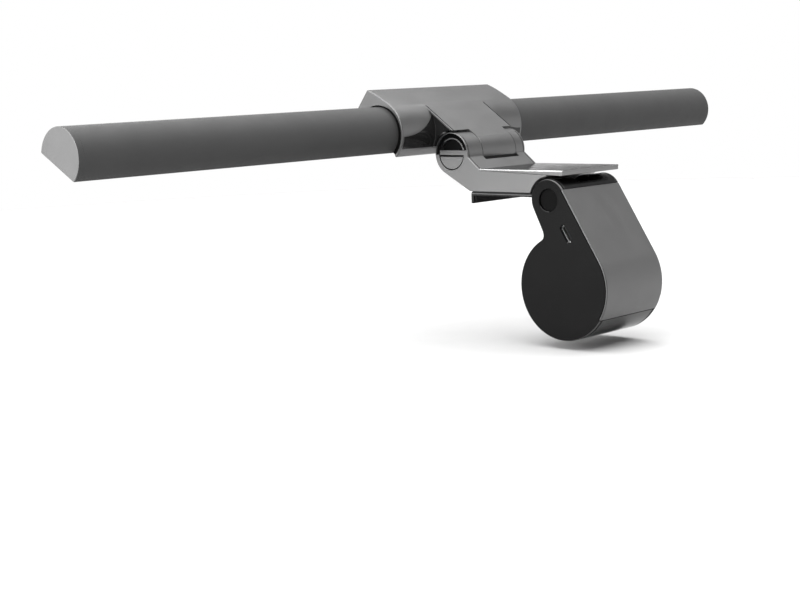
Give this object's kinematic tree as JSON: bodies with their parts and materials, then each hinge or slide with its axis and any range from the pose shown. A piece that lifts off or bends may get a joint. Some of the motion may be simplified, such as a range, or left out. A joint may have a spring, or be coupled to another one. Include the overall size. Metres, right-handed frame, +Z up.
{
  "type": "monitor light bar",
  "caption": "Long D-section lamp bar in a sleeve on a tilting arm, with a hook that rests on a screen's top edge and a pear-shaped counterweight hanging behind it.",
  "frame": {"origin": "middle of the rest pad's underside, where the hook sits on the screen's top edge", "axes": "+X along the lamp bar, towards the side with the USB socket; +Y to the back of the screen, where the counterweight hangs; +Z up"},
  "size_m": [0.45, 0.1311, 0.1154],
  "materials": {
    "bar_paint": "satin dark grey paint on an extruded aluminium bar",
    "cap_plastic": "fine matt light grey moulding",
    "grey_gloss": "semi-gloss grey moulding",
    "black_gloss": "polished black",
    "black_matt": "matt black",
    "cover_paint": "satin grey paint",
    "plate_metal": "polished grey metal",
    "steel": "plain steel",
    "iron": "raw weight",
    "brass": "turned brass",
    "rubber": "soft black rubber",
    "board": "green circuit board",
    "white": "white",
    "opal": "opal diffuser"
  },
  "bodies": {
    "hook": {"hook_body": "grey_gloss", "top_plate": "plate_metal", "base_cover": "black_matt", "base_screw_left": "steel", "base_screw_right": "steel", "rest_pad": "rubber", "front_lip": "black_matt", "lip_pad": "rubber", "hinge_pin": "steel", "hinge_cap_left": "grey_gloss", "hinge_washer": "brass", "hinge_spring": "steel", "hinge_nut": "steel", "hinge_cap_right": "grey_gloss", "pivot_pin": "steel", "hook_lead": "rubber"},
    "lamp": {"bar_housing": "bar_paint", "end_cap_left": "cap_plastic", "end_cap_right": "cap_plastic", "diffuser": "opal", "reflector": "white", "led_board": "board", "led_strip": "white", "driver_board": "board", "driver_choke": "black_matt", "sleeve_screw_left": "steel", "sleeve_screw_right": "steel", "lamp_carrier": "grey_gloss", "arm_fairing": "black_gloss", "touch_strip": "black_gloss", "touch_board": "board", "knuckle_bush_left": "brass", "knuckle_bush_right": "brass", "lamp_lead": "rubber"},
    "counterweight": {"weight_housing": "black_gloss", "back_cover": "cover_paint", "side_plate_left": "black_gloss", "side_plate_right": "black_gloss", "weight_block": "iron", "contact_pad": "rubber", "usb_socket": "steel", "usb_tongue": "black_matt", "usb_board": "board", "weight_lead": "rubber", "pivot_cap_left": "black_matt", "pivot_cap_right": "black_matt", "pivot_bush_left": "brass", "pivot_bush_right": "brass"}
  },
  "joints": [
    {"name": "lamp_tilt", "type": "hinge", "parent": "hook", "child": "lamp", "pos_m": [0, -0.0288, 0.0194], "axis": [1, 0, 0], "range_deg": [-25, 30]},
    {"name": "counterweight_swing", "type": "hinge", "parent": "hook", "child": "counterweight", "pos_m": [0, 0.0279, -0.00095], "axis": [1, 0, 0], "range_deg": [-35, 55]}
  ]
}
